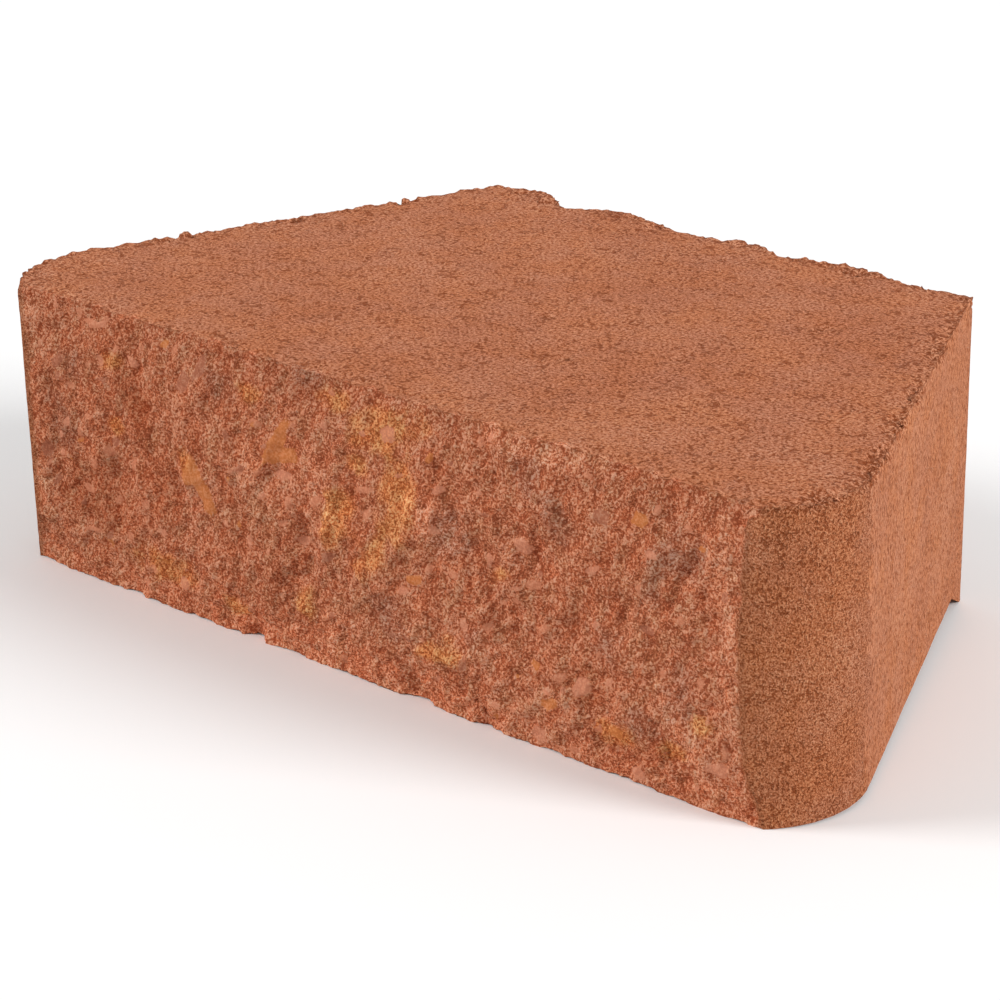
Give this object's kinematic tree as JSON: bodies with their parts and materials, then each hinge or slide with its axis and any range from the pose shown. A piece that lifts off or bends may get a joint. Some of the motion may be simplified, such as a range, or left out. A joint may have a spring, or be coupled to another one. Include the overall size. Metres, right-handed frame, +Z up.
{
  "type": "retaining wall block",
  "caption": "Split-faced concrete retaining wall block with rounded cast corners, sides tapered to the rear and a setting lip below the rear edge.",
  "frame": {"origin": "middle of the bottom of the bounding box, with the block lying unheld on a level floor on its lower front edge and its rear lip", "axes": "+X to the right as seen from the split face, +Y from the split face to the rear, +Z up; the beds are pitched 2.63 degrees about +X, rear up, because the block rests on its lip"},
  "size_m": [0.2984, 0.1718, 0.0967],
  "materials": {
    "red_concrete": "dry-cast concrete coloured red-brown all through: fine grained and pitted on the cast faces, broken aggregate on the split face"
  },
  "bodies": {
    "root": {"retaining_wall_block": "red_concrete"}
  },
  "joints": []
}
